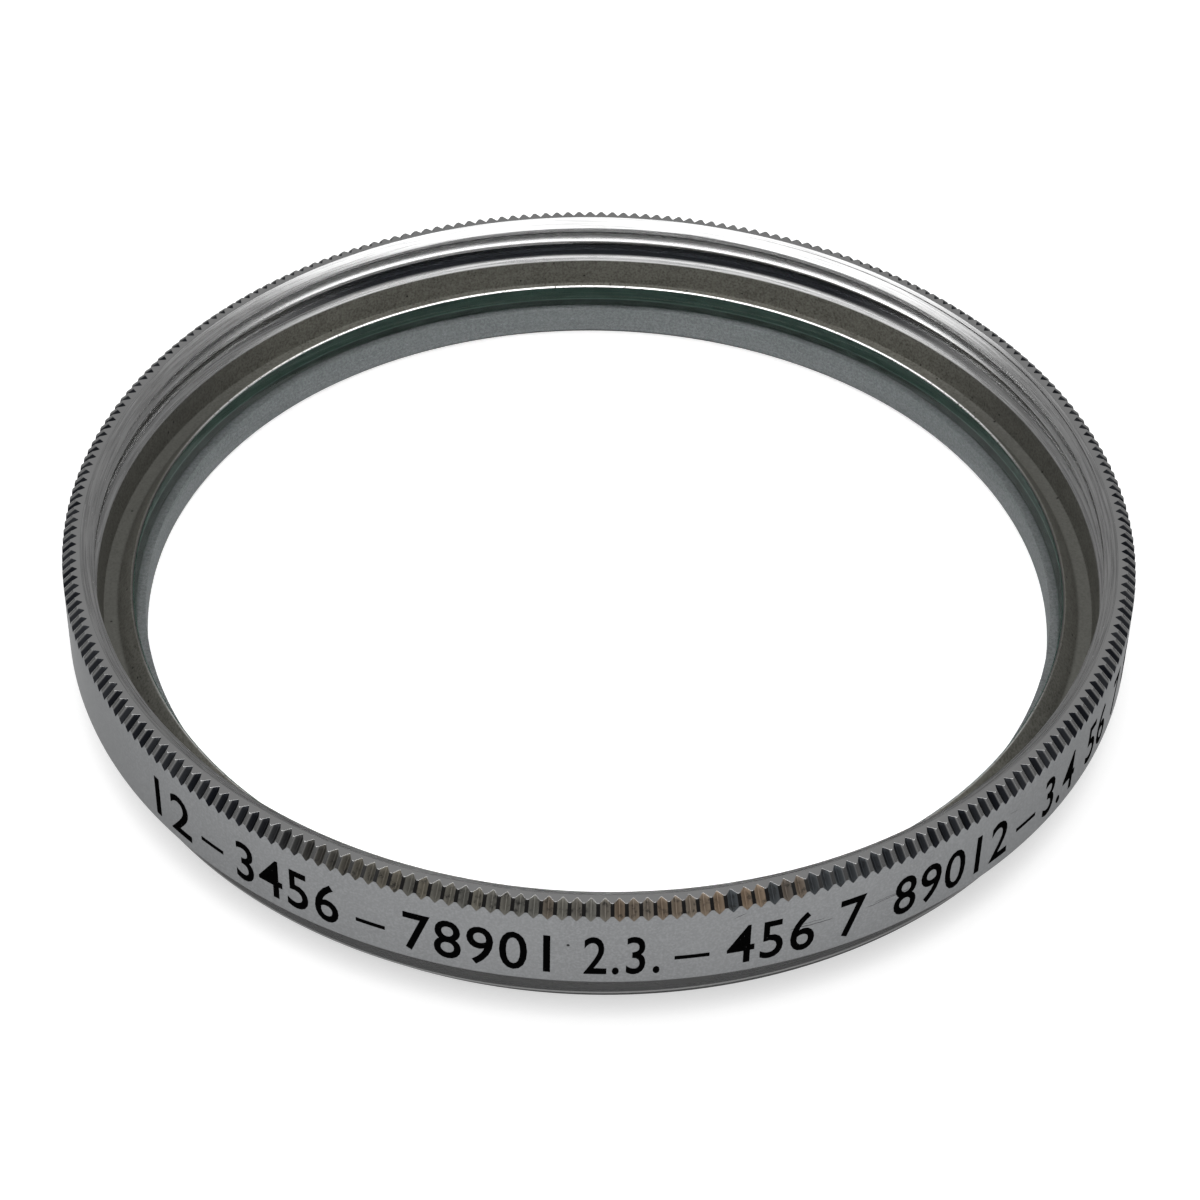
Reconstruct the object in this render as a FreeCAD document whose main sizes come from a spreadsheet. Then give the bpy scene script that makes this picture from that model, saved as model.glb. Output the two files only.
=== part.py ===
# Screw-in infrared filter for a lens with a 46 x 0.75 mm front thread.
# Two pieces: a turned metal ring, and a disc of dark glass held in it by a rolled lip.
# The ring stands on its rear face at height 0, with the optical axis along Z and the front up.
import FreeCAD, Part
import math
import os
import Sketcher

Vector = FreeCAD.Vector

# Driving dimensions, with what each one measures
SIZES = [
    ("thread_diameter", 46.0, "nominal size, front and rear"),
    ("band_wall", 1.0, "reach of the plain outer band beyond the nominal thread, on the radius"),
    ("overall_height", 6.5, "rear face to front land"),
    ("band_height", 4.45, "front land to the shoulder behind the band"),
    ("band_chamfer", 0.25, "lower edge of the band"),
    ("knurl_count", 264, "straight grooves round the front edge"),
    ("knurl_bevel", 0.37, "leg of the 45 degree bevel that carries the grooves"),
    ("crest_width", 0.16, "flat between two grooves"),
    ("knurl_angle", 92.0, "angle between the flanks of a groove"),
    ("thread_depth", 0.4, "crest to root, on the radius"),
    ("front_mouth_reach", 0.15, "inner edge of the front land beyond the nominal thread, on the radius"),
    ("front_mouth_slope", 30.0, "angle of the conical mouth under the land"),
    ("front_thread_end", 1.25, "front land to the relief groove behind the front thread"),
    ("front_ledge_depth", 2.3, "front land to the inner edge behind that groove"),
    ("rear_thread_chamfer", 0.35, "lead-in of the rear thread"),
    ("relief_width", 0.5, "groove between the rear thread and the shoulder"),
    ("relief_depth", 0.5, "that groove, on the radius"),
    ("trough_lean", 0.175, "outer wall of the trough, from its top edge in to its floor, on the radius"),
    ("trough_depth", 3.55, "front land to the floor of the trough"),
    ("trough_width", 0.625, "floor of the trough, on the radius"),
    ("lip_root_width", 0.5, "lip at the floor of the trough, outside the pocket"),
    ("seat_thickness", 1.5, "rear face to the ledge under the glass"),
    ("seat_width", 0.75, "that ledge, from the wall of the pocket in to the clear opening"),
    ("aperture_chamfer", 0.2, "rear edge of the opening"),
    ("glass_thickness", 2.2, "between the polished faces"),
    ("glass_bevel", 0.25, "leg of the 45 degree bevel on both edges of the glass"),
    ("glass_clearance", 0.05, "round the rim of the glass, on the radius"),
    ("lip_overlap", 0.22, "reach of the rolled lip in over the rim of the glass"),
    ("lip_edge_height", 0.05, "thickness of the lip at its inner edge"),
    ("lip_top_width", 0.12, "sloping top of the lip, on the radius"),
    ("lip_top_rise", 0.05, "rise of that top outward"),
]

# Radii and heights that follow from the driving dimensions
BAND = "(Sizes.thread_diameter / 2 + Sizes.band_wall)"
LAND = "Sizes.overall_height"
SHOULDER = "(Sizes.overall_height - Sizes.band_height)"
THREAD_MAJOR = "Sizes.thread_diameter / 2"
THREAD_MINOR = "(Sizes.thread_diameter / 2 - Sizes.thread_depth)"
RELIEF = "Sizes.thread_diameter / 2 - Sizes.relief_depth"
MOUTH = "(Sizes.thread_diameter / 2 + Sizes.front_mouth_reach)"
TROUGH_WALL = f"({THREAD_MINOR} - Sizes.trough_lean)"
TROUGH_FLOOR = "Sizes.overall_height - Sizes.trough_depth"
LIP_ROOT = f"({TROUGH_WALL} - Sizes.trough_width)"
POCKET = f"({LIP_ROOT} - Sizes.lip_root_width)"
APERTURE = f"({POCKET} - Sizes.seat_width)"
SEAT = "Sizes.seat_thickness"
GLASS_RIM = f"({POCKET} - Sizes.glass_clearance)"
BEVEL_FOOT = "(Sizes.seat_thickness + Sizes.glass_thickness - Sizes.glass_bevel)"
LIP_EDGE = f"{GLASS_RIM} - Sizes.lip_overlap"
LIP_UNDERSIDE = f"{BEVEL_FOOT} + Sizes.lip_overlap"

# Right half of the ring's section, radius and height of each corner, counterclockwise
RING_SECTION = [
    # Rear face, rear thread blank and its relief groove
    (f"{APERTURE} + Sizes.aperture_chamfer", "0"),
    (f"{THREAD_MAJOR} - Sizes.rear_thread_chamfer", "0"),
    (THREAD_MAJOR, "Sizes.rear_thread_chamfer"),
    (THREAD_MAJOR, f"{SHOULDER} - Sizes.relief_width"),
    (RELIEF, f"{SHOULDER} - Sizes.relief_width"),
    (RELIEF, SHOULDER),
    # Outer band, still with the square corner that the knurl is cut from
    (f"{BAND} - Sizes.band_chamfer", SHOULDER),
    (BAND, f"{SHOULDER} + Sizes.band_chamfer"),
    (BAND, LAND),
    # Conical front mouth, front thread blank and the relief groove with its 45 degree lower wall
    (MOUTH, LAND),
    (THREAD_MINOR, f"{LAND} - ({MOUTH} - {THREAD_MINOR}) * tan(Sizes.front_mouth_slope * 1 deg)"),
    (THREAD_MINOR, f"{LAND} - Sizes.front_thread_end"),
    (THREAD_MAJOR, f"{LAND} - Sizes.front_thread_end"),
    (THREAD_MAJOR, f"{LAND} - (Sizes.front_ledge_depth - Sizes.thread_depth)"),
    (THREAD_MINOR, f"{LAND} - Sizes.front_ledge_depth"),
    # Trough round the lip
    (TROUGH_WALL, TROUGH_FLOOR),
    (LIP_ROOT, TROUGH_FLOOR),
    # Lip rolled in over the bevel of the glass
    (f"{LIP_EDGE} + Sizes.lip_top_width", f"{LIP_UNDERSIDE} + Sizes.lip_edge_height + Sizes.lip_top_rise"),
    (LIP_EDGE, f"{LIP_UNDERSIDE} + Sizes.lip_edge_height"),
    (LIP_EDGE, LIP_UNDERSIDE),
    (POCKET, f"{BEVEL_FOOT} - Sizes.glass_clearance"),
    # Pocket, ledge under the glass and clear opening
    (POCKET, SEAT),
    (APERTURE, SEAT),
    (APERTURE, "Sizes.aperture_chamfer"),
]

# Right half of the glass section, from its own rear face up
GLASS_SECTION = [
    ("0", "0"),
    (f"{GLASS_RIM} - Sizes.glass_bevel", "0"),
    (GLASS_RIM, "Sizes.glass_bevel"),
    (GLASS_RIM, "Sizes.glass_thickness - Sizes.glass_bevel"),
    (f"{GLASS_RIM} - Sizes.glass_bevel", "Sizes.glass_thickness"),
    ("0", "Sizes.glass_thickness"),
]

# Internal number of a sketch's own axes and origin
ORIGIN = (-1, 1)
SKETCH_X_AXIS = -1
SKETCH_Y_AXIS = -2


def make_sheet(doc):
    """Spreadsheet with one named row for each driving dimension."""
    sheet = doc.addObject("Spreadsheet::Sheet", "Sizes")
    for row, (alias, value, meaning) in enumerate(SIZES, start=1):
        sheet.set(f"A{row}", meaning)
        sheet.set(f"B{row}", str(value))
        sheet.setAlias(f"B{row}", alias)
    doc.recompute()


def origin_element(body, role):
    """The body's own origin plane or axis with this role."""
    return next(element for element in body.Origin.OriginFeatures if element.Role == role)


def sketch_on(body, name, plane):
    """New sketch lying flat on one of the body's origin planes."""
    sketch = body.newObject("Sketcher::SketchObject", name)
    sketch.AttachmentSupport = [(origin_element(body, plane), "")]
    sketch.MapMode = "FlatFace"
    return sketch


def closed_lines(sketch, points):
    """Closed chain of straight lines, joined end to start."""
    count = len(points)
    for i in range(count):
        sketch.addGeometry(Part.LineSegment(points[i], points[(i + 1) % count]), False)
    for i in range(count):
        sketch.addConstraint(Sketcher.Constraint("Coincident", i, 2, (i + 1) % count, 1))


def hold_size(sketch, constraint, formula):
    """Add a constraint whose size follows a formula of the sheet."""
    number = sketch.addConstraint(constraint)
    sketch.setExpression(f"Constraints[{number}]", formula)


def hold_corner(sketch, line, kind, axis, formula):
    """Hold the start of a line on an axis, or at the distance that a formula gives."""
    if formula == "0":
        sketch.addConstraint(Sketcher.Constraint("PointOnObject", line, 1, axis))
    else:
        hold_size(sketch, Sketcher.Constraint(kind, *ORIGIN, line, 1, 1.0), formula)


def turned_body(doc, label, section):
    """Body turned about Z from a closed section of formulas."""
    body = doc.addObject("PartDesign::Body", label)
    sketch = sketch_on(body, f"{label}_section", "XZ_Plane")
    count = len(section)
    turns = [2 * math.pi * i / count for i in range(count)]
    closed_lines(sketch, [Vector(2 + math.cos(a), 2 + math.sin(a), 0) for a in turns])
    for line, (radius, height) in enumerate(section):
        hold_corner(sketch, line, "DistanceX", SKETCH_Y_AXIS, radius)
        hold_corner(sketch, line, "DistanceY", SKETCH_X_AXIS, height)
    turned = body.newObject("PartDesign::Revolution", f"{label}_turned")
    turned.Profile = sketch
    turned.ReferenceAxis = (origin_element(body, "Z_Axis"), [""])
    turned.Angle = 360
    doc.recompute()
    return body


def crest_polygon(doc, name, height):
    """Regular polygon with one side for each crest of the knurl, on the 45 degree bevel."""
    polygon = doc.addObject("Part::RegularPolygon", name)
    inner_radius = f"({BAND} - Sizes.knurl_bevel + {LAND} - {height})"
    polygon.setExpression("Polygon", "Sizes.knurl_count")
    polygon.setExpression("Circumradius", f"{inner_radius} / cos(180 deg / Sizes.knurl_count)")
    polygon.setExpression("Placement.Base.z", height)
    return polygon


def bevelled_blank(doc, blank):
    """The blank with its front corner bevelled, one flat for each crest of the knurl."""
    facets = doc.addObject("Part::Loft", "crest_facets")
    facets.Sections = [crest_polygon(doc, "crest_foot", "0"), crest_polygon(doc, "crest_top", LAND)]
    facets.Solid = True
    facets.Ruled = True
    bevelled = doc.addObject("Part::Common", "bevelled_blank")
    bevelled.Base = blank
    bevelled.Tool = facets
    doc.recompute()
    return bevelled


def groove_section(body, name, side):
    """V section square to the bevel, past one end of a groove: side 1 at the land, -1 at the band."""
    sketch = sketch_on(body, name, "YZ_Plane")
    sketch.AttachmentOffset = FreeCAD.Placement(Vector(0, 0, 0), FreeCAD.Rotation(Vector(1, 0, 0), 45))
    offset = f"{side} * Sizes.knurl_bevel * 1.2 - Sizes.knurl_bevel / 2"
    radius = f"({BAND} - Sizes.knurl_bevel - ({offset}))"
    sketch.setExpression("AttachmentOffset.Base.y", f"{LAND} + ({offset})")
    sketch.setExpression("AttachmentOffset.Base.z", radius)
    closed_lines(sketch, [Vector(0, -1, 0), Vector(1, 1, 0), Vector(-1, 1, 0)])
    half_width = f"({radius} * pi / Sizes.knurl_count - Sizes.crest_width / 2)"
    depth = f"{half_width} / tan(Sizes.knurl_angle / 2 * 1 deg)"
    sketch.addConstraint(Sketcher.Constraint("PointOnObject", 0, 1, SKETCH_Y_AXIS))
    sketch.addConstraint(Sketcher.Constraint("Symmetric", 0, 2, 1, 2, SKETCH_Y_AXIS))
    hold_size(sketch, Sketcher.Constraint("Angle", 0, 1, 2, 2, math.radians(90)), "Sizes.knurl_angle * 1 deg")
    hold_size(sketch, Sketcher.Constraint("DistanceY", 0, 1, *ORIGIN, 1.0), depth)
    hold_size(sketch, Sketcher.Constraint("DistanceY", *ORIGIN, 0, 2, 1.0), f"{depth} / 4")
    return sketch


def knurled_body(doc, label, blank):
    """The blank with V grooves cut all round its front bevel, between crests of even width."""
    body = doc.addObject("PartDesign::Body", label)
    body.BaseFeature = blank
    doc.recompute()
    groove = body.newObject("PartDesign::SubtractiveLoft", "groove")
    groove.Profile = groove_section(body, "groove_at_land", 1)
    groove.Sections = [groove_section(body, "groove_at_band", -1)]
    groove.Ruled = True
    groove.Refine = False
    doc.recompute()
    knurl = body.newObject("PartDesign::PolarPattern", "knurl")
    knurl.Originals = [groove]
    knurl.Axis = (origin_element(body, "Z_Axis"), [""])
    knurl.Angle = 360
    knurl.setExpression("Occurrences", "Sizes.knurl_count")
    knurl.Refine = False
    body.Tip = knurl
    doc.recompute()
    return body


def check_sound(doc, pieces):
    """Stop if any object failed to rebuild, or a piece isn't one valid solid."""
    for item in doc.Objects:
        if "Invalid" in item.State or "Error" in item.State:
            raise RuntimeError(f"{item.Label} did not rebuild")
    for piece in pieces:
        if piece.Shape.isNull() or not piece.Shape.isValid() or len(piece.Shape.Solids) != 1:
            raise RuntimeError(f"{piece.Label} is not one valid solid")


def main():
    doc = FreeCAD.newDocument("infrared_filter")
    make_sheet(doc)
    blank = turned_body(doc, "ring_blank", RING_SECTION)
    ring = knurled_body(doc, "filter_ring", bevelled_blank(doc, blank))
    glass = turned_body(doc, "filter_glass", GLASS_SECTION)
    glass.setExpression("Placement.Base.z", SEAT)
    doc.recompute()
    pieces = [ring, glass]
    check_sound(doc, pieces)
    os.makedirs("parts", exist_ok=True)
    for piece in pieces:
        piece.Shape.exportStep(f"parts/{piece.Label}.step")
        print(piece.Label, round(piece.Shape.Volume, 2), "cubic mm", piece.Shape.BoundBox)


main()
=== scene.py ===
# Looks of the screw-in infrared filter: a turned and knurled metal ring with a disc of glass.
import bpy
import math
from types import SimpleNamespace

from mathutils import Matrix, Vector


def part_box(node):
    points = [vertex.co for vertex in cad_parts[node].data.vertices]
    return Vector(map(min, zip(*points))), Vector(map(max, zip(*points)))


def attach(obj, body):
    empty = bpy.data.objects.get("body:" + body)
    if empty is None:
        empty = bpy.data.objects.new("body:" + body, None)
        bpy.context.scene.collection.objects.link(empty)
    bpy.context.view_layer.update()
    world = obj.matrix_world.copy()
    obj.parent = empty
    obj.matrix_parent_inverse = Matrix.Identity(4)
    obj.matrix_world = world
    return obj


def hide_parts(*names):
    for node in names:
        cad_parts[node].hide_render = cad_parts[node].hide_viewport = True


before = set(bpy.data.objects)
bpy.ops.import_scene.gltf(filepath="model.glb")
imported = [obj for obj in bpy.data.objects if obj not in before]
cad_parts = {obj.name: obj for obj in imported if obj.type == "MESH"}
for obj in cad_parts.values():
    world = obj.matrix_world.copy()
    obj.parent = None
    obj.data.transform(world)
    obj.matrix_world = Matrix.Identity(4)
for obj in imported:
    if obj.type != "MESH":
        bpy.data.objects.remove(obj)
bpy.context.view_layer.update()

# The pieces are modelled in millimetres and brought to metres when they are finished
MM = 0.001

# Reach of the ring and of the glass
RING_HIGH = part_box("filter_ring")[1]
GLASS_LOW, GLASS_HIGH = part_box("filter_glass")
LAND = RING_HIGH[2] / MM
BAND = RING_HIGH[0] / MM
SHOULDER = LAND - 4.45
SEAT = GLASS_LOW[2] / MM
GLASS_TOP = GLASS_HIGH[2] / MM
GLASS_RIM = GLASS_HIGH[0] / MM

# Glass, its pocket and the lip rolled over its upper bevel
GLASS_BEVEL = 0.25
POCKET = GLASS_RIM + 0.05
BEVEL_FOOT = GLASS_TOP - GLASS_BEVEL
LIP_EDGE = GLASS_RIM - 0.22
LIP_UNDERSIDE = BEVEL_FOOT + 0.22
APERTURE = 20.55
APERTURE_CHAMFER = 0.2

# Air under the glass, so that its lower face and the seat don't flicker in the same place
GLASS_LIFT = 0.012

# Threads: the front one is cut into the bore, the rear one on the outside
THREAD_MAJOR = 23.0
THREAD_MINOR = 22.6
THREAD_PITCH = 0.75
FRONT_MOUTH = 23.15
FRONT_MOUTH_DROP = (FRONT_MOUTH - THREAD_MINOR) * math.tan(math.radians(30))
FRONT_THREAD_END = LAND - 1.25
REAR_CHAMFER = 0.35
REAR_RELIEF = 0.5

# Middle of the lowest turn of the front thread at azimuth 0, in the relief groove
FRONT_THREAD_LOW = LAND - 1.7

# The tool of a thread runs out this far past its end, and reaches this far past the crests
THREAD_RUN_OUT = 0.4
THREAD_OVERRUN = 0.05

# Relief groove behind the front thread, ledge and trough
FRONT_RELIEF = 23.02
FRONT_LEDGE = LAND - 2.3
TROUGH_WALL = 22.425
TROUGH_FLOOR = LAND - 3.55

# The band's face stands this much inside the ring's reach, which the paint of the numbers fills
PAINT_STEP = 0.008
BAND_FACE = BAND - PAINT_STEP
BAND_CHAMFER = 0.25

# Knurl: straight V grooves in the front bevel
TEETH = 264
TOOTH = 2 * math.pi / TEETH
KNURL_BEVEL = 0.37
KNURL_DEPTH = 0.2
CREST_HALF_WIDTH = 0.055
ROOT_HALF_WIDTH = 0.02
KNURL_ROUNDING = 0.015

# The strip that is cut into columns for the grooves: inner radius on the land, reach down the band
STRIP_RADIUS = FRONT_MOUTH + 0.13
STRIP_DROP = 0.75

# Points nearer than this to a place are taken for it
CLOSE = 0.006

# Edges flatter than this angle in degrees are shaded smooth
SMOOTH_ANGLE = 30

# Rounded lower wall of the relief groove behind the front thread
COVE_RADIUS = (FRONT_RELIEF - THREAD_MINOR) / (1 - math.cos(math.radians(80)))
COVE_TOP = FRONT_LEDGE + COVE_RADIUS * math.sin(math.radians(80))
COVE = [(FRONT_RELIEF - COVE_RADIUS * (1 - math.cos(math.radians(turn))),
         COVE_TOP - COVE_RADIUS * math.sin(math.radians(turn)), 0.0) for turn in (0, 20, 40, 60)]

# Right half of the ring's section: radius, height and edge rounding of each corner
RING_SECTION = [
    (APERTURE + APERTURE_CHAMFER, 0.0, 0.03),
    (THREAD_MAJOR - REAR_CHAMFER, 0.0, 0.03),
    (THREAD_MAJOR, REAR_CHAMFER, 0.03),
    (THREAD_MAJOR, SHOULDER - REAR_RELIEF, 0.03),
    (THREAD_MAJOR - REAR_RELIEF, SHOULDER - REAR_RELIEF, 0.05),
    (THREAD_MAJOR - REAR_RELIEF, SHOULDER, 0.05),
    (BAND_FACE - BAND_CHAMFER, SHOULDER, 0.03),
    (BAND_FACE, SHOULDER + BAND_CHAMFER, 0.05),
    (BAND_FACE, LAND - STRIP_DROP, 0.0),
    (BAND_FACE, LAND - KNURL_BEVEL, 0.0),
    (BAND_FACE - KNURL_BEVEL, LAND, 0.0),
    (STRIP_RADIUS, LAND, 0.0),
    (FRONT_MOUTH, LAND, 0.03),
    (THREAD_MINOR, LAND - FRONT_MOUTH_DROP, 0.03),
    (THREAD_MINOR, FRONT_THREAD_END, 0.03),
    (FRONT_RELIEF, FRONT_THREAD_END, 0.03),
    *COVE,
    (THREAD_MINOR, FRONT_LEDGE, 0.02),
    (TROUGH_WALL, TROUGH_FLOOR, 0.1),
    (POCKET + 0.5, TROUGH_FLOOR, 0.08),
    (LIP_EDGE + 0.12, LIP_UNDERSIDE + 0.1, 0.03),
    (LIP_EDGE, LIP_UNDERSIDE + 0.05, 0.02),
    (LIP_EDGE, LIP_UNDERSIDE, 0.0),
    (POCKET, BEVEL_FOOT - 0.05, 0.0),
    (POCKET, SEAT, 0.0),
    (APERTURE, SEAT, 0.03),
    (APERTURE, APERTURE_CHAMFER, 0.03),
]


# Modelling helpers

def deselect_all():
    """Nothing selected, in object mode."""
    if bpy.context.object and bpy.context.object.mode != "OBJECT":
        bpy.ops.object.mode_set(mode="OBJECT")
    bpy.ops.object.select_all(action="DESELECT")


def select_only(piece):
    """This piece alone selected and active."""
    deselect_all()
    piece.select_set(True)
    bpy.context.view_layer.objects.active = piece


def edit(piece, kind="VERT"):
    """Edit mode on this piece alone, nothing selected in it."""
    select_only(piece)
    bpy.ops.object.mode_set(mode="EDIT")
    bpy.ops.mesh.select_mode(type=kind)
    bpy.ops.mesh.select_all(action="DESELECT")


def edit_whole(piece):
    """Edit mode on this piece alone, all of it selected."""
    edit(piece)
    bpy.ops.mesh.select_all(action="SELECT")


def face_outward():
    """All normals of the piece in edit mode outward."""
    bpy.ops.mesh.select_all(action="SELECT")
    bpy.ops.mesh.normals_make_consistent(inside=False)


def pick(piece, kind, wanted):
    """Select the vertices, edges or faces for which wanted(points) is true, and stay in edit mode."""
    edit(piece, kind)
    bpy.ops.object.mode_set(mode="OBJECT")
    mesh = piece.data
    parts = {"VERT": mesh.vertices, "EDGE": mesh.edges, "FACE": mesh.polygons}[kind]
    for part in parts:
        corners = [part.index] if kind == "VERT" else part.vertices
        part.select = wanted([mesh.vertices[i].co for i in corners])
    bpy.ops.object.mode_set(mode="EDIT")


def apply_modifier(piece, kind, **settings):
    """Add a modifier with these settings and apply it."""
    select_only(piece)
    modifier = piece.modifiers.new(kind.title(), kind)
    for name, value in settings.items():
        setattr(modifier, name, value)
    bpy.ops.object.modifier_apply(modifier=modifier.name)


def polar(point):
    """Radius, height and azimuth of a point."""
    return math.hypot(point.x, point.y), point.z, math.atan2(point.y, point.x)


def finish_piece(piece, name):
    """Clean the mesh, bring it to metres and smooth what isn't an edge."""
    edit(piece)
    face_outward()
    bpy.ops.object.mode_set(mode="OBJECT")
    piece.scale = (MM, MM, MM)
    bpy.ops.object.transform_apply(location=True, rotation=True, scale=True)
    bpy.ops.object.shade_smooth_by_angle(angle=math.radians(SMOOTH_ANGLE))
    piece.name = name
    piece.data.name = name


# The ring

def section_outline():
    """The ring's section as a closed face in the plane through X and Z."""
    deselect_all()
    bpy.ops.mesh.primitive_plane_add(size=1)
    outline = bpy.context.object
    edit_whole(outline)
    bpy.ops.mesh.merge(type="CENTER")
    radius, height, _ = RING_SECTION[0]
    bpy.ops.transform.translate(value=(radius, 0, height))
    for corner, last in zip(RING_SECTION[1:], RING_SECTION):
        step = (corner[0] - last[0], 0, corner[1] - last[1])
        bpy.ops.mesh.extrude_region_move(TRANSFORM_OT_translate={"value": step})
    bpy.ops.mesh.select_all(action="SELECT")
    ends = {0, len(RING_SECTION) - 1}
    bpy.ops.object.mode_set(mode="OBJECT")
    for vertex in outline.data.vertices:
        vertex.select = vertex.index in ends
    for edge in outline.data.edges:
        edge.select = False
    bpy.ops.object.mode_set(mode="EDIT")
    bpy.ops.mesh.edge_face_add()
    return outline


def ring_sector():
    """One tooth of the ring: its whole section swept from the root of one groove to the next."""
    sector = section_outline()
    bpy.ops.mesh.select_all(action="SELECT")
    bpy.ops.transform.rotate(value=-TOOTH / 2, orient_axis="Z", center_override=(0, 0, 0))
    bpy.ops.mesh.spin(steps=1, angle=TOOTH, center=(0, 0, 0), axis=(0, 0, 1))
    face_outward()
    return sector


def on_bevel(point):
    """True on the front bevel of the ring, its two borders included."""
    radius, height, _ = polar(point)
    level = radius + height - (BAND_FACE - KNURL_BEVEL + LAND)
    return abs(level) < CLOSE and radius > BAND_FACE - KNURL_BEVEL - CLOSE


def in_strip(points):
    """True for a face of the strip that the grooves of the knurl take up."""
    return all(p.z > LAND - STRIP_DROP - 0.01 and polar(p)[0] > STRIP_RADIUS - 0.01 for p in points)


def cut_columns(sector):
    """Cut the land, the bevel and the top of the band along the edges of the root and of the crest."""
    for angle in (CREST_HALF_WIDTH / BAND, TOOTH / 2 - ROOT_HALF_WIDTH / BAND):
        for side in (-1, 1):
            pick(sector, "FACE", in_strip)
            normal = (-math.sin(side * angle), math.cos(side * angle), 0)
            bpy.ops.mesh.bisect(plane_co=(0, 0, 0), plane_no=normal, threshold=1e-5)


def sink_groove(sector):
    """Sink the root columns of the bevel and run them out on the land and on the band."""
    depth = KNURL_DEPTH * math.sqrt(2)
    steps = 4
    pick(sector, "EDGE", lambda points: all(on_bevel(p) for p in points)
         and abs(polar(points[0])[2] - polar(points[1])[2]) < 1e-6)
    bpy.ops.mesh.subdivide(number_cuts=steps - 1)
    root = TOOTH / 2 - ROOT_HALF_WIDTH / BAND - 1e-4
    for side in (-1, 1):
        for step in range(steps + 1):
            share = step / steps
            low = LAND - KNURL_BEVEL * share
            pick(sector, "VERT", lambda points: on_bevel(points[0])
                 and abs(points[0].z - low) < 0.002 and side * polar(points[0])[2] > root)
            inward = -depth * (1 - share)
            turn = side * TOOTH / 2
            shift = (inward * math.cos(turn), inward * math.sin(turn), -depth * share)
            bpy.ops.transform.translate(value=shift)


def round_edges(sector):
    """Round the edges that run round the ring, each by its own amount, and those of the crests."""
    for rounding in sorted({corner[2] for corner in RING_SECTION} - {0.0}):
        places = [(radius, height) for radius, height, size in RING_SECTION if size == rounding]
        pick(sector, "EDGE", lambda points: any(
            all(math.hypot(polar(p)[0] - radius, p.z - height) < CLOSE for p in points)
            for radius, height in places))
        bpy.ops.mesh.bevel(offset=rounding, segments=2, profile=0.5, affect="EDGES")
    pick(sector, "EDGE", knurl_edge)
    bpy.ops.mesh.bevel(offset=KNURL_ROUNDING, segments=1, profile=0.5, affect="EDGES")


def knurl_edge(points):
    """True for the two long edges of a crest and for the zigzag where the grooves run out."""
    radii, heights, azimuths = zip(*(polar(p) for p in points))
    groove_end = BAND_FACE - KNURL_BEVEL - KNURL_DEPTH * math.sqrt(2) - 0.01
    on_land = min(heights) > LAND - 0.001 and min(radii) > groove_end
    on_band = min(radii) > BAND_FACE - CLOSE and min(heights) > LAND - BAND_FACE + groove_end
    straight = abs(azimuths[0] - azimuths[1]) < 1e-5
    beside_crest = abs(azimuths[0]) < CREST_HALF_WIDTH / BAND + 1e-5
    on_crest = straight and beside_crest and all(on_bevel(p) for p in points)
    return on_crest or on_land or on_band


def repeat_round(sector):
    """Copy the tooth all round, close the joints and turn the ring so that a groove lies at azimuth 0."""
    deselect_all()
    bpy.ops.object.empty_add(rotation=(0, 0, TOOTH))
    turn = bpy.context.object
    apply_modifier(sector, "ARRAY", count=TEETH, use_relative_offset=False, use_object_offset=True,
                   offset_object=turn, use_merge_vertices=True, use_merge_vertices_cap=True,
                   merge_threshold=0.002)
    bpy.data.objects.remove(turn)
    edit_whole(sector)
    bpy.ops.mesh.remove_doubles(threshold=0.001)
    face_outward()
    bpy.ops.transform.rotate(value=TOOTH / 2, orient_axis="Z", center_override=(0, 0, 0))
    bpy.ops.object.mode_set(mode="OBJECT")


def thread_section(crest, root):
    """Corners of a 60 degree groove: flat at its root, and a little past the crests at its mouth.

    The crests are an eighth of the pitch wide on the outer thread and a quarter in the inner one.
    """
    side = 1 if crest > root else -1
    flank = math.tan(math.radians(30))
    mouth = THREAD_PITCH * (7 / 8 if side > 0 else 3 / 4) / 2 + THREAD_OVERRUN * flank
    flat = mouth - (abs(crest - root) + THREAD_OVERRUN) * flank
    outer = crest + side * THREAD_OVERRUN
    return [(outer, -mouth), (outer, mouth), (root, flat), (root, -flat)]


def thread_cutter(corners, low, high):
    """Solid that the tool of a right-hand thread sweeps: its section turned and raised about Z."""
    deselect_all()
    bpy.ops.mesh.primitive_circle_add(vertices=len(corners), radius=1, fill_type="NGON")
    cutter = bpy.context.object
    for vertex, (radius, height) in zip(cutter.data.vertices, corners):
        vertex.co = (radius, 0, height + low)
    edit_whole(cutter)
    bpy.ops.mesh.delete(type="ONLY_FACE")
    turns = (high - low) / THREAD_PITCH
    steps = round(turns * TEETH)
    apply_modifier(cutter, "SCREW", axis="Z", angle=2 * math.pi * turns, screw_offset=high - low,
                   steps=steps, render_steps=steps, use_merge_vertices=False)
    edit(cutter, "EDGE")
    bpy.ops.mesh.select_non_manifold()
    bpy.ops.mesh.edge_face_add()
    face_outward()
    return cutter


def cut_thread(ring, crest, root, low, high):
    """Cut a thread between two heights of the tool, and take the swept solid away."""
    cutter = thread_cutter(thread_section(crest, root), low, high)
    deselect_all()
    apply_modifier(ring, "BOOLEAN", operation="DIFFERENCE", solver="EXACT", object=cutter)
    bpy.data.objects.remove(cutter)


def flatten_land(ring):
    """Shade the flat front face flat, so that the points between the grooves don't shine."""
    pick(ring, "FACE", lambda points: all(p.z > (LAND - 0.0005) * MM for p in points))
    bpy.ops.mesh.faces_shade_flat()
    deselect_all()


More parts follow.
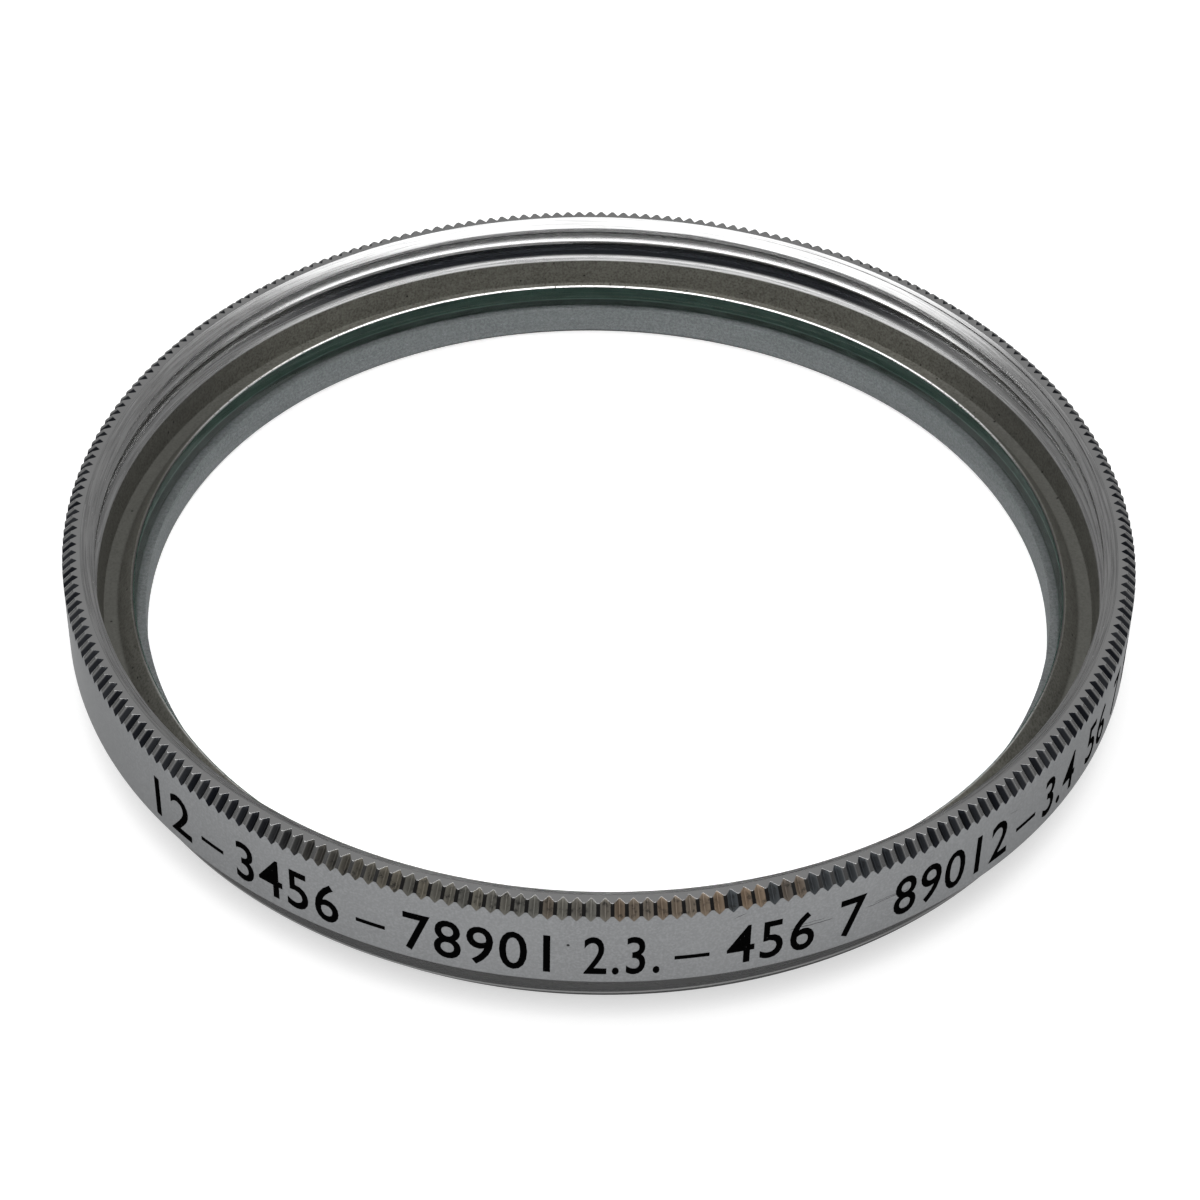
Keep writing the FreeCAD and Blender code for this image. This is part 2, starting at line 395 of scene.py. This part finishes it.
def make_ring():
    """The whole ring: one tooth copied all round, then both threads cut."""
    ring = ring_sector()
    cut_columns(ring)
    sink_groove(ring)
    round_edges(ring)
    repeat_round(ring)
    cut_thread(ring, THREAD_MINOR, THREAD_MAJOR, FRONT_THREAD_LOW, LAND + THREAD_RUN_OUT)
    cut_thread(ring, THREAD_MAJOR, THREAD_MINOR, -THREAD_RUN_OUT, SHOULDER - THREAD_RUN_OUT)
    finish_piece(ring, "knurled_ring")
    flatten_land(ring)
    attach(ring, "root")
    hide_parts("filter_ring")
    ring.data.materials.append(satin_plate())


# The glass

def make_glass():
    """Flat disc with both edges bevelled: polished faces, ground rim, darker ground rear bevel."""
    deselect_all()
    thickness = GLASS_TOP - SEAT - GLASS_LIFT
    bpy.ops.mesh.primitive_cylinder_add(vertices=256, radius=GLASS_RIM, depth=thickness,
                                        location=(0, 0, GLASS_TOP - thickness / 2))
    glass = bpy.context.object
    bpy.ops.object.transform_apply(location=True, rotation=False, scale=False)
    pick(glass, "EDGE", lambda points: abs(points[0].z - points[1].z) < 0.001)
    bpy.ops.mesh.bevel(offset=GLASS_BEVEL, segments=1, affect="EDGES")
    finish_piece(glass, "flat_glass")
    looks = [clear_glass(), ground_rim("ground_rim", *RIM_GREENS),
             ground_rim("ground_rear_bevel", *REAR_BEVEL_GREENS)]
    for look in looks:
        glass.data.materials.append(look)
    for face in glass.data.polygons:
        face.material_index = 0 if abs(face.normal.z) > 0.9 else 2 if face.normal.z < -0.1 else 1
    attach(glass, "root")
    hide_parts("filter_glass")


# Painted numbers: place holders, each with its first and last azimuth in degrees

NUMBER_HEIGHT = 2.2
NUMBER_FOOT = LAND - 3.75
NUMBER_THICKENING = 0.008
NUMBER_SPACING = 1.08
DASH_MIDDLE = LAND - 2.92
DASH_HEIGHT = 0.2
PAINT_SUNK = 0.012
PAINT_FACE = BAND - 0.002
NUMBERS = [
    ("12", 220.2, 226.0), ("3456", 232.5, 244.8), ("78901", 251.7, 266.2), ("2.3.", 269.4, 276.7),
    ("456", 283.2, 292.1), ("7", 294.8, 297.6), ("89012", 300.9, 316.0), ("3.4", 322.1, 328.3),
    ("56", 331.3, 336.6), ("7", 339.2, 341.8), ("89", 344.4, 349.9),
]
DASHES = [(227.6, 230.7), (246.7, 249.8), (278.1, 281.5), (317.4, 320.6)]


def along_band(first, last):
    """Two azimuths as lengths along the band from its front, where the azimuth is 270 degrees."""
    return [math.radians(azimuth - 270) * BAND for azimuth in (first, last)]


def flat_number(text, first, last):
    """Digits laid out flat, stretched to fill their share of the band."""
    deselect_all()
    bpy.ops.object.text_add()
    word = bpy.context.object
    word.data.body = text
    word.data.extrude = 0.5
    word.data.offset = NUMBER_THICKENING
    word.data.space_character = NUMBER_SPACING
    word.data.resolution_u = 4
    bpy.ops.object.convert(target="MESH")
    word = bpy.context.object
    low = [min(v.co[axis] for v in word.data.vertices) for axis in range(3)]
    high = [max(v.co[axis] for v in word.data.vertices) for axis in range(3)]
    left, right = along_band(first, last)
    stretch = ((right - left) / (high[0] - low[0]), NUMBER_HEIGHT / (high[1] - low[1]), 1)
    word.scale = stretch
    word.location = (left - low[0] * stretch[0], NUMBER_FOOT - low[1] * stretch[1], 0)
    bpy.ops.object.transform_apply(location=True, rotation=True, scale=True)
    return word


def flat_dash(first, last):
    """Dash between two groups of digits."""
    deselect_all()
    left, right = along_band(first, last)
    bpy.ops.mesh.primitive_cube_add(size=1, location=((left + right) / 2, DASH_MIDDLE, 0))
    dash = bpy.context.object
    dash.scale = (right - left, DASH_HEIGHT, 1)
    bpy.ops.object.transform_apply(location=True, rotation=True, scale=True)
    return dash


def roll_onto_band(paint):
    """Cut the flat paint into narrow columns and bend it round the band."""
    edit_whole(paint)
    bpy.ops.mesh.remove_doubles(threshold=1e-4)
    start, end = along_band(220, 350)
    step = 0.25
    for i in range(round((end - start) / step)):
        bpy.ops.mesh.select_all(action="SELECT")
        bpy.ops.mesh.bisect(plane_co=(start + i * step, 0, 0), plane_no=(1, 0, 0), threshold=1e-5)
    bpy.ops.object.mode_set(mode="OBJECT")
    for vertex in paint.data.vertices:
        azimuth = vertex.co.x / BAND - math.pi / 2
        radius = PAINT_FACE if vertex.co.z > 0 else BAND_FACE - PAINT_SUNK
        vertex.co = (radius * math.cos(azimuth), radius * math.sin(azimuth), vertex.co.y)


def make_numbers():
    """All digits and dashes in one thin skin of paint, rolled onto the band."""
    shapes = [flat_number(*number) for number in NUMBERS] + [flat_dash(*dash) for dash in DASHES]
    select_only(shapes[0])
    for shape in shapes[1:]:
        shape.select_set(True)
    bpy.ops.object.join()
    paint = bpy.context.object
    roll_onto_band(paint)
    finish_piece(paint, "painted_numbers")
    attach(paint, "root")
    paint.data.materials.append(black_paint())


# Materials

class Nodes:
    """Short way to add nodes to one material and to link them."""

    def __init__(self, name):
        self.material = bpy.data.materials.new(name)
        self.material.use_nodes = True
        self.tree = self.material.node_tree
        self.shader = self.tree.nodes["Principled BSDF"]

    def add(self, kind, inputs, output=0, **settings):
        """Add a node, set or link its inputs, and give back one of its outputs."""
        node = self.tree.nodes.new(kind)
        for name, value in settings.items():
            setattr(node, name, value)
        for socket, value in inputs.items():
            self.fill(node.inputs[socket], value)
        return node.outputs[output]

    def fill(self, socket, value):
        """Link an output to this input, or set its value."""
        if isinstance(value, bpy.types.NodeSocket):
            self.tree.links.new(value, socket)
        else:
            socket.default_value = value

    def set(self, **sockets):
        """Set or link the shader's own sockets, named with _ for a space."""
        for name, value in sockets.items():
            self.fill(self.shader.inputs[name.replace("_", " ")], value)

    def locate(self):
        """Find the place on the piece in millimetres, with its radius, height and azimuth."""
        raw = self.add("ShaderNodeTexCoord", {}, output="Object")
        self.place = self.add("ShaderNodeVectorMath", {0: raw, "Scale": 1 / MM}, operation="SCALE")
        x, y, self.height = self.add("ShaderNodeSeparateXYZ", {0: self.place}).node.outputs
        self.radius = self.length(x, y)
        self.azimuth = self.math("ARCTAN2", y, x)

    def math(self, operation, *values):
        """Arithmetic on one or two values."""
        return self.add("ShaderNodeMath", dict(enumerate(values)), operation=operation)

    def chain(self, operation, first, *others):
        """The same arithmetic on one value after the other."""
        for other in others:
            first = self.math(operation, first, other)
        return first

    def plus(self, *values):
        """Sum of the values."""
        return self.chain("ADD", *values)

    def minus(self, first, second):
        """Difference of two values."""
        return self.math("SUBTRACT", first, second)

    def times(self, *values):
        """Product of the values; of masks, the place that all of them cover."""
        return self.chain("MULTIPLY", *values)

    def most(self, *values):
        """Largest of the values; of masks, the place that any of them covers."""
        return self.chain("MAXIMUM", *values)

    def length(self, x, y):
        """Length of the step x, y."""
        return self.math("SQRT", self.plus(self.times(x, x), self.times(y, y)))

    def ramp(self, value, low, high):
        """0 below low and 1 above high, smooth between them; low may be above high."""
        inputs = {"Value": value, "From Min": low, "From Max": high}
        return self.add("ShaderNodeMapRange", inputs, interpolation_type="SMOOTHSTEP")

    def between(self, value, low, high, edge):
        """1 between two values, with soft edges."""
        inside = self.ramp(value, low - edge, low + edge)
        return self.times(inside, self.ramp(value, high + edge, high - edge))

    def mix(self, share, first, second):
        """Blend of two colours."""
        inputs = {"Factor": share, 6: first, 7: second}
        return self.add("ShaderNodeMix", inputs, output=2, data_type="RGBA")

    def layers(self, colour, *coats):
        """Lay coats over a colour, each with its mask and its own colour."""
        for mask, coat in coats:
            colour = self.mix(mask, colour, coat)
        return colour

    def blend(self, share, first, second):
        """Blend of two numbers."""
        inputs = {"Factor": share, 2: first, 3: second}
        return self.add("ShaderNodeMix", inputs, output=0, data_type="FLOAT")

    def noise(self, vector, scale, detail, roughness):
        """Soft noise on a vector in millimetres."""
        inputs = {"Vector": vector, "Scale": scale, "Detail": detail, "Roughness": roughness}
        return self.add("ShaderNodeTexNoise", inputs)

    def unrolled(self, across, along):
        """Vector of a first value, the height, and the azimuth times a factor."""
        values = {0: across, 1: self.height, 2: self.times(self.azimuth, along)}
        return self.add("ShaderNodeCombineXYZ", values)


def grey(value, warmth=0.0):
    """Linear colour near grey; warmth raises red and lowers blue."""
    return (value * (1 + warmth), value, value * (1 - warmth), 1)


# Plate: clouds of the satin band, its grain, its back lightened by painted light bounced from the floor,
# the land, and the dot with the scratches
PLATE_TONES = (grey(0.19, -0.02), grey(0.238, -0.02))
PLATE_GRAIN = grey(0.27, -0.02)
REAR_BOUNCE_LIGHT = grey(0.29, 0.01)
LAND_TONES = (grey(0.36), grey(0.46))
MARK_TONE = grey(0.02)

# Inside of the ring: bore, flanks of its thread with painted highlight and shade, relief groove with
# painted shade, seat, opening, chamfer with painted shadow, and lip with painted highlight and shade
BORE_TONES = (grey(0.25), grey(0.41))
THREAD_SHADE_AND_HIGHLIGHT = (grey(0.2), grey(0.66))
RELIEF_SHADE = (0.036, 0.039, 0.045, 1)
SEAT_GREENS = ((0.055, 0.085, 0.073, 1), (0.1, 0.14, 0.124, 1))
OPENING_TONES = ((0.155, 0.173, 0.178, 1), (0.24, 0.26, 0.264, 1))
CHAMFER_SHADOW = grey(0.03)
LIP_SHADE_AND_HIGHLIGHT = (grey(0.13, 0.03), grey(0.72, 0.01))

# Tarnish of the trough: olive, its light and dark grain, painted shade at the sides, floor and pits
OLIVES = ((0.075, 0.073, 0.06, 1), (0.2, 0.196, 0.168, 1))
OLIVE_LIGHT = (0.22, 0.22, 0.2, 1)
OLIVE_DARK = (0.04, 0.039, 0.032, 1)
OLIVE_SHADE = grey(0.02)
FLOOR_OLIVES = ((0.08, 0.08, 0.071, 1), (0.135, 0.135, 0.123, 1))
PIT_BROWN = (0.008, 0.007, 0.006, 1)

# Knurl: painted shade at the edges of the grooves and on the crests, the dirt's stains, bare metal and
# painted shade in the grooves at the sides
GROOVE_EDGE_SHADE = grey(0.006, 0.05)
CREST_SHADE = grey(0.007, 0.03)
DIRT_STAIN = grey(0.02)
DIRT_BLOTCH = grey(0.02, 0.05)
SIDE_METAL = grey(0.2)
SIDE_GROOVE_SHADES = ((0.008, 0.009, 0.012, 1), (0.03, 0.032, 0.036, 1))

# Tint of the dirt in the knurl by place round the ring, as a share of a full turn from +X
KNURL_TINTS = [
    (0.0, (0.045, 0.05, 0.056, 1)), (0.3, (0.06, 0.06, 0.058, 1)), (0.52, (0.05, 0.05, 0.049, 1)),
    (0.63, (0.07, 0.069, 0.063, 1)), (0.68, (0.145, 0.132, 0.106, 1)), (0.74, (0.165, 0.162, 0.146, 1)),
    (0.775, (0.23, 0.17, 0.118, 1)), (0.8, (0.075, 0.085, 0.092, 1)), (0.9, (0.06, 0.066, 0.073, 1)),
]

# Glass: ground rim, its darker rear bevel, and the painted light line above that bevel
RIM_GREENS = ((0.03, 0.068, 0.053, 1), (0.05, 0.1, 0.08, 1))
REAR_BEVEL_GREENS = ((0.022, 0.036, 0.03, 1), (0.04, 0.062, 0.053, 1))
RIM_LIGHT_LINE_GREEN = (0.115, 0.18, 0.155, 1)

# Black of the numbers, and where it is worn thin
PAINT_TONES = (grey(0.002), grey(0.08))

# Radii and heights between which a zone of the ring begins or ends
OUTSIDE_START = (23.3, 23.5)
BORE_START = (22.45, 22.55)
TROUGH_RADII = (21.1, 22.66)
TROUGH_LOW = 2.8
RELIEF_RADII = (22.8, 23.1)
RELIEF_LOW = COVE_TOP - 0.32
LIP_RADII = (20.9, 21.17)
OPENING_END = (21.0, 20.9)
THREAD_TOP = LAND - 0.36

# Dark dot on the band: azimuth in degrees and height
DOT = (-92.1, LAND - 2.07)

# Scratches on the band: first and last azimuth in degrees, height, rise in a degree, and width
SCRATCHES = [
    (-70.4, -66.1, LAND - 2.4, 0.01, 0.035), (-70.0, -67.0, LAND - 2.26, 0.02, 0.022),
    (-62.2, -57.6, LAND - 2.42, 0.015, 0.03), (-61.4, -58.8, LAND - 2.3, 0.0, 0.02),
    (-76.1, -75.2, LAND - 1.0, 0.18, 0.025), (-44.0, -42.8, LAND - 1.5, -0.1, 0.02),
]


def ring_zones(n):
    """Masks of the zones of the ring, by radius and height, and of its sides, by azimuth."""
    zone = SimpleNamespace()
    zone.far_or_near = n.math("ABSOLUTE", n.math("SINE", n.azimuth))
    zone.side = n.ramp(n.math("ABSOLUTE", n.math("COSINE", n.azimuth)), 0.3, 0.6)
    zone.outside = n.ramp(n.radius, *OUTSIDE_START)
    zone.rear = n.ramp(n.height, SHOULDER + 0.02, SHOULDER - 0.02)
    zone.land = n.times(n.ramp(n.radius, FRONT_MOUTH, FRONT_MOUTH + 0.04),
                        n.ramp(n.height, LAND - 0.012, LAND - 0.004))
    zone.bore = n.times(n.ramp(n.radius, *BORE_START),
                        n.ramp(n.height, FRONT_LEDGE - 0.03, FRONT_LEDGE + 0.03),
                        n.ramp(n.radius, FRONT_MOUTH + 0.03, FRONT_MOUTH - 0.01))
    # Painted shade in the relief groove, at the back and in front only
    zone.relief = n.times(n.between(n.radius, *RELIEF_RADII, 0.04),
                          n.between(n.height, RELIEF_LOW, FRONT_THREAD_END, 0.04),
                          n.ramp(zone.far_or_near, 0.6, 0.88))
    zone.trough = n.times(n.between(n.radius, *TROUGH_RADII, 0.03),
                          n.between(n.height, TROUGH_LOW, FRONT_LEDGE, 0.03))
    zone.lip = n.times(n.between(n.radius, *LIP_RADII, 0.02),
                       n.ramp(n.height, LIP_UNDERSIDE - 0.1, LIP_UNDERSIDE))
    zone.seat = n.times(n.between(n.radius, APERTURE + 0.03, POCKET, 0.02),
                        n.between(n.height, SEAT - 0.03, SEAT + 0.03, 0.01))
    zone.opening = n.times(n.ramp(n.radius, *OPENING_END), n.ramp(n.height, SEAT + 0.1, SEAT))
    # Painted shadow on the chamfer at the foot of the opening
    zone.chamfer = n.times(zone.opening, n.ramp(n.height, 0.24, 0.18))
    return zone


def knurl_zones(n):
    """Masks of the knurl and of its crests, and the depth in a groove from 0 to 1."""
    zone = SimpleNamespace()
    bevel = BAND_FACE - KNURL_BEVEL + LAND
    level = n.times(n.minus(n.plus(n.radius, n.height), bevel), math.sqrt(0.5))
    zone.whole = n.times(n.ramp(n.height, LAND - 0.001, LAND - 0.005),
                         n.ramp(n.radius, BAND_FACE - 0.004, BAND_FACE - 0.012),
                         n.ramp(level, -0.235, -0.215))
    zone.crest = n.times(zone.whole, n.ramp(level, -0.022, -0.012))
    zone.depth = n.math("DIVIDE", n.times(level, -1.0), KNURL_DEPTH)
    return zone


def outside_colour(n, zone, grain):
    """Plate a little lighter and darker in clouds, with grain on the band, painted light on the back below
    the shoulder, and a lighter land.
    """
    cloud = n.noise(n.place, 0.35, 4.0, 0.6)
    return n.layers(
        n.mix(cloud, *PLATE_TONES),
        (n.times(zone.outside, n.ramp(grain, 0.35, 0.75)), PLATE_GRAIN),
        # Painted light bounced from the floor, on the back below the shoulder
        (n.times(zone.rear, 0.6), REAR_BOUNCE_LIGHT),
        (zone.land, n.mix(cloud, *LAND_TONES)),
        (marks(n), MARK_TONE))


def marks(n):
    """Mask of the dark dot and of the fine scratches on the band."""
    degrees = n.times(n.azimuth, 180 / math.pi)
    across = n.times(n.plus(degrees, -DOT[0]), math.pi / 180 * BAND)
    mask = n.ramp(n.length(across, n.minus(n.height, DOT[1])), 0.08, 0.05)
    wobble = n.times(n.minus(n.noise(n.place, 1.3, 3.0, 0.6), 0.5), 0.25)
    for first, last, middle, slope, width in SCRATCHES:
        line = n.plus(n.times(n.plus(degrees, -first), slope), middle)
        off = n.math("ABSOLUTE", n.minus(n.minus(n.height, line), wobble))
        scratch = n.times(n.ramp(off, width, width / 3), n.between(degrees, first, last, 0.3))
        mask = n.most(mask, n.times(scratch, 0.75))
    return n.times(mask, n.math("GREATER_THAN", n.height, SHOULDER + 0.2))


def bore_colour_with_thread_light(n, zone, lines):
    """Turned bore; at the back and in front, a painted highlight on one flank of the thread and painted
    shade on the rest.
    """
    turned = n.mix(n.ramp(lines, 0.3, 0.7), *BORE_TONES)
    helix = n.minus(n.height, n.times(n.azimuth, THREAD_PITCH / (2 * math.pi)))
    turn = FRONT_THREAD_LOW + THREAD_PITCH
    # Painted highlight on one flank of each turn, painted shade on the rest of the thread
    flank = n.between(helix, turn - 0.33, turn - 0.07, 0.02)
    thread_light_mask = n.times(n.between(n.height, FRONT_THREAD_END, THREAD_TOP, 0.02),
                       n.ramp(zone.far_or_near, 0.5, 0.8))
    return n.mix(thread_light_mask, turned, n.mix(flank, *THREAD_SHADE_AND_HIGHLIGHT))


def lip_highlight_and_shade(n, zone, grain):
    """Edge of the lip: a painted highlight at the back and in front where the grain doesn't break it,
    painted shade elsewhere.
    """
    highlight = n.times(n.ramp(zone.far_or_near, 0.25, 0.6), n.ramp(grain, 0.3, 0.45))
    return n.mix(highlight, *LIP_SHADE_AND_HIGHLIGHT)


def trough_tarnish_and_shade(n, zone, grain):
    """Olive tarnish with grain and dark pits, with painted shade at the sides, where the floor is lighter
    again.
    """
    stain = n.noise(n.unrolled(n.radius, 9.0), 2.2, 5.0, 0.65)
    olive = n.layers(
        n.mix(stain, *OLIVES),
        (n.times(n.ramp(grain, 0.45, 0.65), 0.4), OLIVE_LIGHT),
        (n.times(n.ramp(grain, 0.5, 0.3), 0.5), OLIVE_DARK))
    # Painted shade on the olive at the sides
    shaded = n.mix(0.45, olive, OLIVE_SHADE)
    olive = n.mix(n.ramp(zone.far_or_near, 0.45, 0.8), shaded, olive)
    floor = n.times(n.ramp(n.height, TROUGH_FLOOR + 0.08, TROUGH_FLOOR + 0.03),
                    n.ramp(zone.far_or_near, 0.85, 0.4))
    pits = n.add("ShaderNodeTexVoronoi", {"Vector": n.place, "Scale": 1.6})
    return n.layers(
        olive,
        (n.times(floor, 0.75), n.mix(grain, *FLOOR_OLIVES)),
        (n.times(n.ramp(pits, 0.13, 0.05), n.ramp(stain, 0.42, 0.52)), PIT_BROWN))


def knurl_dirt_and_shade(n, zone, knurl):
    """Dirt with its own tint in each groove, painted shade at the edges of the grooves and on the crests;
    at the sides painted shade in the grooves between bare metal crests.
    """
    groove = n.math("FLOOR", n.plus(n.math("DIVIDE", n.azimuth, TOOTH), 0.5))
    chance = n.add("ShaderNodeTexWhiteNoise", {"W": groove}, noise_dimensions="1D")
    turn = n.math("FRACT", n.plus(n.math("DIVIDE", n.azimuth, 2 * math.pi), 1.0))
    tint = n.add("ShaderNodeValToRGB", {0: n.plus(turn, n.times(n.minus(chance, 0.5), 0.05))})
    set_ramp(tint.node, KNURL_TINTS)
    blotch = n.noise(n.place, 3.0, 4.0, 0.7)
    # At the sides: bare metal crests, painted shade in the grooves
    side_metal_and_shade = n.mix(n.ramp(knurl.depth, 0.14, 0.42), SIDE_METAL, n.mix(chance, *SIDE_GROOVE_SHADES))
    return n.layers(
        # Painted shade at the edges of each groove, the dirt's tint deeper in
        n.mix(n.ramp(knurl.depth, 0.0, 0.24), GROOVE_EDGE_SHADE, tint),
        (n.times(chance, 0.4), DIRT_STAIN),
        (n.times(n.ramp(blotch, 0.5, 0.68), 0.8), DIRT_BLOTCH),
        # Painted shade on the crests
        (knurl.crest, CREST_SHADE),
        (zone.side, side_metal_and_shade))


def set_ramp(node, stops):
    """Give a colour ramp these stops of place and colour."""
    elements = node.color_ramp.elements
    while len(elements) < len(stops):
        elements.new(0.5)
    for element, (position, colour) in zip(elements, stops):
        element.position = position
        element.color = colour


def plate_roughness(n, zone, knurl, lines, grain):
    """Roughness: low on the turned bore and the land, high on the band, the trough and the opening."""
    rough = n.blend(zone.outside, n.blend(lines, 0.2, 0.36), n.blend(grain, 0.38, 0.5))
    rough = n.blend(zone.land, rough, 0.1)
    rough = n.blend(n.most(zone.trough, zone.opening), rough, 0.55)
    return n.blend(knurl.whole, rough, n.blend(knurl.crest, 0.5, 0.25))


def plate_bump(n, zone, lines, grain):
    """Fine height of the surface: turning lines inside, blasted grain outside."""
    blasted = n.most(zone.outside, zone.trough, zone.opening, zone.land)
    fine = n.blend(zone.land, n.blend(blasted, 0.1, 0.5), 0.05)
    wave = n.plus(n.times(lines, n.blend(blasted, 1.0, 0.1)), n.times(grain, fine))
    return n.add("ShaderNodeBump", {"Strength": 0.35, "Distance": 0.000008, "Height": wave})


def satin_plate():
    """Satin plate on brass: turned inside, blasted outside, tarnished in the knurl and the trough, with
    painted light and shade laid over it in places.
    """
    n = Nodes("satin_plate_on_brass")
    n.locate()
    zone = ring_zones(n)
    knurl = knurl_zones(n)
    grain = n.noise(n.place, 9.0, 2.0, 0.6)

    # Turning lines run round the ring and hardly change along their length
    lines = n.noise(n.unrolled(n.radius, 0.5), 14.0, 3.0, 0.7)

    colour = n.layers(
        outside_colour(n, zone, grain),
        # Painted highlight and shade on the thread
        (zone.bore, bore_colour_with_thread_light(n, zone, lines)),
        # Painted shade in the relief groove
        (zone.relief, RELIEF_SHADE),
        (zone.seat, n.mix(grain, *SEAT_GREENS)),
        (zone.opening, n.mix(n.ramp(grain, 0.3, 0.7), *OPENING_TONES)),
        (zone.chamfer, CHAMFER_SHADOW),
        # Painted shadow on the chamfer
        (zone.lip, lip_highlight_and_shade(n, zone, grain)),
        # Painted highlight and shade on the lip
        (zone.trough, trough_tarnish_and_shade(n, zone, grain)),
        # Tarnish and, at the sides, painted shade in the trough
        (knurl.whole, knurl_dirt_and_shade(n, zone, knurl)))
    # Dirt and painted shade in the knurl
    dull = n.most(n.times(zone.trough, 0.7), n.times(knurl.whole, n.blend(zone.side, 0.5, 0.05)))
    n.set(Base_Color=colour, Metallic=n.minus(1.0, dull), Specular_Tint=grey(0.5))
    n.set(Roughness=plate_roughness(n, zone, knurl, lines, grain), Normal=plate_bump(n, zone, lines, grain))
    n.set(Anisotropic=0.45, Anisotropic_Rotation=0.25, Tangent=n.add("ShaderNodeTangent", {}, axis="Z"))
    return n.material


def clear_glass():
    """Polished clear glass with a faint smear."""
    n = Nodes("polished_glass")
    n.locate()
    smear = n.noise(n.place, 0.12, 4.0, 0.6)
    n.set(Base_Color=grey(1.0), Roughness=n.blend(n.ramp(smear, 0.4, 0.8), 0.0, 0.012))
    n.set(IOR=1.52, Transmission_Weight=1.0)
    return n.material


def ground_rim(name, dark, light):
    """Ground edge of the glass, green where it is looked at through the thickness, with a painted light
    line above the rear bevel.
    """
    n = Nodes(name)
    n.locate()
    streaks = n.noise(n.unrolled(0.0, 6.0), 2.5, 4.0, 0.6)
    # Painted light line above the rear bevel
    painted_light_line = n.between(n.height, SEAT + GLASS_BEVEL, SEAT + GLASS_BEVEL + 0.14, 0.04)
    green = n.layers(n.mix(n.ramp(streaks, 0.3, 0.7), dark, light), (painted_light_line, RIM_LIGHT_LINE_GREEN))
    n.set(Base_Color=green, Roughness=0.6, Specular_IOR_Level=0.2)
    return n.material


def black_paint():
    """Black paint, worn thin in places so that the plate shows."""
    n = Nodes("black_number_paint")
    n.locate()
    chip = n.ramp(n.noise(n.place, 7.0, 4.0, 0.75), 0.66, 0.72)
    n.set(Base_Color=n.mix(chip, *PAINT_TONES), Roughness=0.8, Specular_IOR_Level=0.0)
    return n.material


# Studio: the floor's grey and glow, the room, and the lamp, its lengths in metres

FLOOR_GREY = 0.62
FLOOR_GLOW = 0.52
GLOW_THROUGH_GLASS = 1.6
ROOM_LIGHT = 0.45
LAMP_HEIGHT = 0.5
LAMP_SHIFT = -0.03
LAMP_RADIUS = 0.31
LAMP_LEVEL = 3.2

# Camera fitted to the ring's ellipses in the photograph: distance in metres from the middle of the
# land, height angle and roll in degrees, and in pixels of the picture its side, the focal length
# and the row of the optical axis
CAMERA_DISTANCE = 6.186 * 0.02374
CAMERA_ANGLE = math.radians(40.395)
CAMERA_ROLL = math.radians(1.303)
PICTURE_SIDE = 1200
FOCAL_PIXELS = 3268.3
AXIS_ROW = 515.4
SENSOR_WIDTH = 36


def make_floor():
    """Plain white floor that keeps the shadow of the filter."""
    deselect_all()
    bpy.ops.mesh.primitive_plane_add(size=3)
    floor = bpy.context.object
    floor.name = "floor"
    n = Nodes("studio_floor")
    n.set(Base_Color=grey(FLOOR_GREY), Roughness=0.9, Specular_IOR_Level=0.1)
    rays = n.add("ShaderNodeLightPath", {}).node.outputs
    through_glass = n.times(rays["Is Transmission Ray"], GLOW_THROUGH_GLASS)
    seen = n.most(rays["Is Camera Ray"], rays["Is Glossy Ray"], through_glass)
    glow = n.add("ShaderNodeEmission", {"Color": grey(1.0), "Strength": n.times(seen, FLOOR_GLOW)})
    both = n.add("ShaderNodeAddShader", {0: n.shader.outputs[0], 1: glow})
    n.tree.links.new(both, n.tree.nodes["Material Output"].inputs["Surface"])
    floor.data.materials.append(n.material)


def make_lights():
    """Grey room and one wide soft lamp overhead."""
    world = bpy.data.worlds.new("studio")
    bpy.context.scene.world = world
    world.use_nodes = True
    background = world.node_tree.nodes["Background"]
    background.inputs["Color"].default_value = grey(1.0)
    background.inputs["Strength"].default_value = ROOM_LIGHT
    lamp = bpy.data.lights.new("overhead", "AREA")
    lamp.shape = "DISK"
    lamp.size = 2 * LAMP_RADIUS
    lamp.energy = LAMP_LEVEL * math.pi * math.pi * LAMP_RADIUS ** 2
    holder = bpy.data.objects.new("overhead", lamp)
    holder.location = (LAMP_SHIFT, 0, LAMP_HEIGHT)
    bpy.context.collection.objects.link(holder)


def make_camera():
    """Camera at the photograph's angle and distance."""
    target = Vector((0, 0, LAND * MM))
    away = Vector((0, -math.cos(CAMERA_ANGLE), math.sin(CAMERA_ANGLE)))
    level_right = Vector((1, 0, 0))
    level_up = away.cross(level_right)
    right = math.cos(CAMERA_ROLL) * level_right + math.sin(CAMERA_ROLL) * level_up
    up = math.cos(CAMERA_ROLL) * level_up - math.sin(CAMERA_ROLL) * level_right
    data = bpy.data.cameras.new("camera")
    data.sensor_width = SENSOR_WIDTH
    data.lens = SENSOR_WIDTH * FOCAL_PIXELS / PICTURE_SIDE
    data.clip_start = 0.01
    data.shift_y = -(PICTURE_SIDE / 2 - AXIS_ROW) / PICTURE_SIDE
    camera = bpy.data.objects.new("camera", data)
    turned = Matrix((right, up, away)).transposed().to_4x4()
    camera.matrix_world = Matrix.Translation(target + away * CAMERA_DISTANCE) @ turned
    bpy.context.collection.objects.link(camera)
    bpy.context.scene.camera = camera


make_ring()
make_glass()
make_numbers()
make_floor()
make_lights()
make_camera()
bpy.context.scene.view_settings.view_transform = "Standard"
